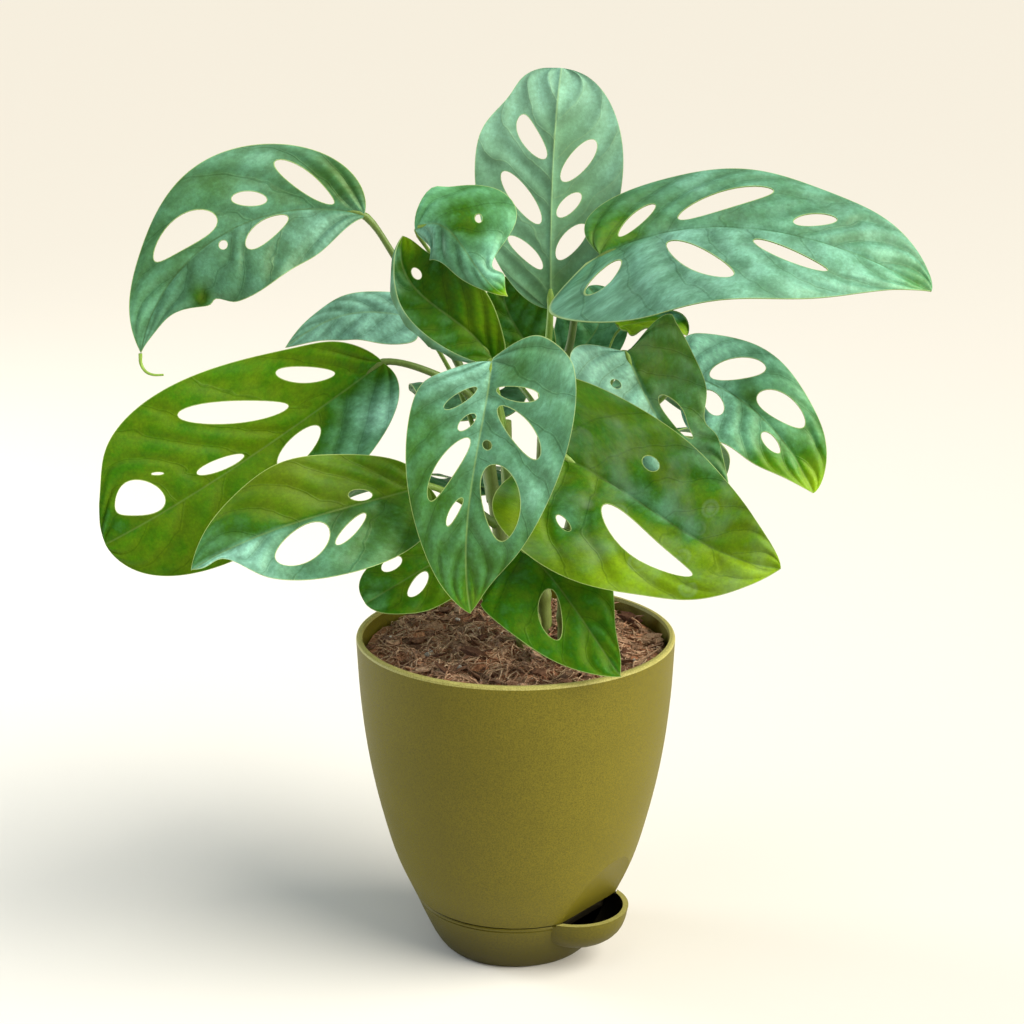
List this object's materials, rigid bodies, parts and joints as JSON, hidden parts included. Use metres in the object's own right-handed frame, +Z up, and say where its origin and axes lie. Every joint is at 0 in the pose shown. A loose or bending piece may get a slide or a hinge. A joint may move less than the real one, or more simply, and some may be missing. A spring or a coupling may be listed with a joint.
{
  "type": "potted swiss cheese vine",
  "caption": "Small aroid house plant with holed, pointed leaves on long petioles, growing from bark soil in a tapered self-watering pot with a water tray and a half-moon fill cup.",
  "frame": {"origin": "middle of the pot's underside, at the base mount", "axes": "+Z up out of the soil, -Y is the side shown in the picture, +X to its right; the fill cup is at the front right"},
  "size_m": [0.3177, 0.1877, 0.3612],
  "materials": {
    "pot_plastic": "matt olive green, finely speckled, moulded",
    "potting_mix": "loose red-brown coir and bark with pale fibres",
    "stem_green": "smooth green stem with tan rings",
    "leaf_blue_green": "waxy, slightly bluish green",
    "leaf_mid_green": "waxy mid green",
    "leaf_yellow_green": "waxy yellow green, younger leaves"
  },
  "bodies": {
    "root": {"pot_shell": "pot_plastic", "water_tray": "pot_plastic", "soil": "potting_mix", "stem_left": "stem_green", "stem_front": "stem_green", "stem_back": "stem_green", "stem_right": "stem_green", "leaf_upper_left": "leaf_blue_green", "leaf_top": "leaf_blue_green", "leaf_upper_right": "leaf_blue_green", "leaf_folded": "leaf_mid_green", "leaf_cupped": "leaf_yellow_green", "leaf_left_wide": "leaf_yellow_green", "leaf_left_low": "leaf_mid_green", "leaf_left_small": "leaf_yellow_green", "leaf_front": "leaf_blue_green", "leaf_right_wide": "leaf_mid_green", "leaf_over_rim": "leaf_yellow_green", "leaf_right_inner": "leaf_blue_green", "leaf_right_outer": "leaf_blue_green", "leaf_unfurling": "leaf_yellow_green", "leaf_left_inner": "leaf_blue_green", "leaf_centre_left": "leaf_mid_green", "leaf_centre_right": "leaf_yellow_green", "leaf_back_left_low": "leaf_mid_green", "leaf_back_right_low": "leaf_mid_green", "leaf_back_low": "leaf_mid_green", "leaf_back_left": "leaf_mid_green", "leaf_back_right": "leaf_blue_green", "leaf_back_high": "leaf_blue_green"}
  },
  "joints": []
}
